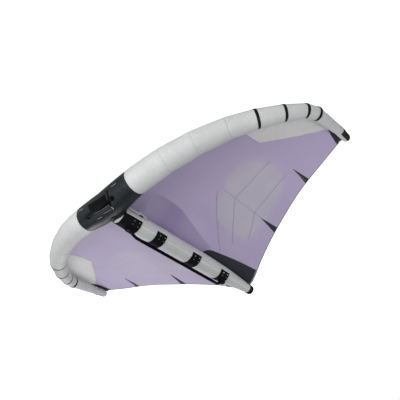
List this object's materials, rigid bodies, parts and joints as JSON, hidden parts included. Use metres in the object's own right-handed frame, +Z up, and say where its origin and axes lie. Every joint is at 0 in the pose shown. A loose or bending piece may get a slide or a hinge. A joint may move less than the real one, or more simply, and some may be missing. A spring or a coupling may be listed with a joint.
{
  "type": "wingfoil wing",
  "caption": "Hand-held inflatable wing for wingfoiling: swept leading-edge tube, centre strut with a rigid boom, and a fabric canopy, rider's side up.",
  "frame": {"origin": "on the floor under the middle of the wing's bounding box", "axes": "+X along the span, +Y aft from the leading edge to the strut's tail, +Z up, towards the rider's side; the wing lies on its canopy side at its resting pitch"},
  "size_m": [3.5068, 1.9166, 0.8],
  "materials": {
    "light_sleeve": "matte",
    "black_wrap": "satin",
    "lilac_canopy": "satin",
    "grey_reinforcement": "matte",
    "charcoal_patch": "matte",
    "clear_bladder": "satin",
    "batten_rod": "satin",
    "black_pad": "matte",
    "boom_black": "satin",
    "black_moulding": "matte",
    "screw_steel": "satin",
    "valve_plastic": "satin",
    "hose_tube": "satin"
  },
  "bodies": {
    "wing": {"air_hose": "hose_tube", "batten_inner_left": "batten_rod", "batten_inner_right": "batten_rod", "batten_outer_left": "batten_rod", "batten_outer_right": "batten_rod", "batten_pocket_inner_left": "charcoal_patch", "batten_pocket_inner_right": "charcoal_patch", "batten_pocket_outer_left": "charcoal_patch", "batten_pocket_outer_right": "charcoal_patch", "boom_front_foot": "black_moulding", "boom_rear_foot": "black_moulding", "boom_tube": "boom_black", "canopy_middle": "lilac_canopy", "canopy_outer_left": "lilac_canopy", "canopy_outer_right": "lilac_canopy", "canopy_tip_left": "lilac_canopy", "canopy_tip_right": "lilac_canopy", "front_handle_anchor_left": "black_moulding", "front_handle_anchor_right": "black_moulding", "hose_clamp_body": "valve_plastic", "leading_edge_bladder": "clear_bladder", "leading_edge_centre_wrap": "black_wrap", "leading_edge_gore_left_1": "light_sleeve", "leading_edge_gore_left_2": "light_sleeve", "leading_edge_gore_left_3": "light_sleeve", "leading_edge_gore_left_4": "light_sleeve", "leading_edge_gore_left_5": "light_sleeve", "leading_edge_gore_left_6": "light_sleeve", "leading_edge_gore_left_7": "light_sleeve", "leading_edge_gore_right_1": "light_sleeve", "leading_edge_gore_right_2": "light_sleeve", "leading_edge_gore_right_3": "light_sleeve", "leading_edge_gore_right_4": "light_sleeve", "leading_edge_gore_right_5": "light_sleeve", "leading_edge_gore_right_6": "light_sleeve", "leading_edge_gore_right_7": "light_sleeve", "pad_screws_1": "screw_steel", "pad_screws_2": "screw_steel", "pad_screws_3": "screw_steel", "pad_screws_4": "screw_steel", "strut_bladder": "clear_bladder", "strut_pad_1": "black_pad", "strut_pad_2": "black_pad", "strut_pad_3": "black_pad", "strut_pad_4": "black_pad", "strut_sleeve": "light_sleeve", "strut_tail_cap": "black_moulding", "tail_patch_left": "charcoal_patch", "tail_patch_right": "charcoal_patch", "tip_cap_left": "light_sleeve", "tip_cap_right": "light_sleeve", "tip_reinforcement_left": "grey_reinforcement", "tip_reinforcement_right": "grey_reinforcement", "trailing_edge_hem_left": "charcoal_patch", "trailing_edge_hem_right": "charcoal_patch", "valve_base": "valve_plastic"},
    "valve_body": {"valve_body": "valve_plastic"},
    "valve_cap": {"valve_cap": "valve_plastic"},
    "clamp_lever": {"hose_clamp_lever": "black_moulding"},
    "front_handle": {"front_handle_grip": "black_pad"}
  },
  "joints": [
    {"name": "valve_body_turn", "type": "hinge", "parent": "wing", "child": "valve_body", "pos_m": [-0.47447, -0.65681, 0.20468], "axis": [0.1836, 0.9745, 0.129], "range_deg": [0, 90]},
    {"name": "valve_cap_hinge", "type": "hinge", "parent": "valve_body", "child": "valve_cap", "pos_m": [-0.4936, -0.63277, 0.20383], "axis": [-0.1673, -0.0983, 0.981], "range_deg": [0, 150]},
    {"name": "clamp_lever_hinge", "type": "hinge", "parent": "wing", "child": "clamp_lever", "pos_m": [-0.114, -0.56879, 0.33919], "axis": [1, 0, 0], "range_deg": [0, 100]},
    {"name": "front_handle_hinge", "type": "hinge", "parent": "wing", "child": "front_handle", "pos_m": [0, -0.91477, 0.30765], "axis": [1, 0, 0], "range_deg": [-45, 45]}
  ]
}
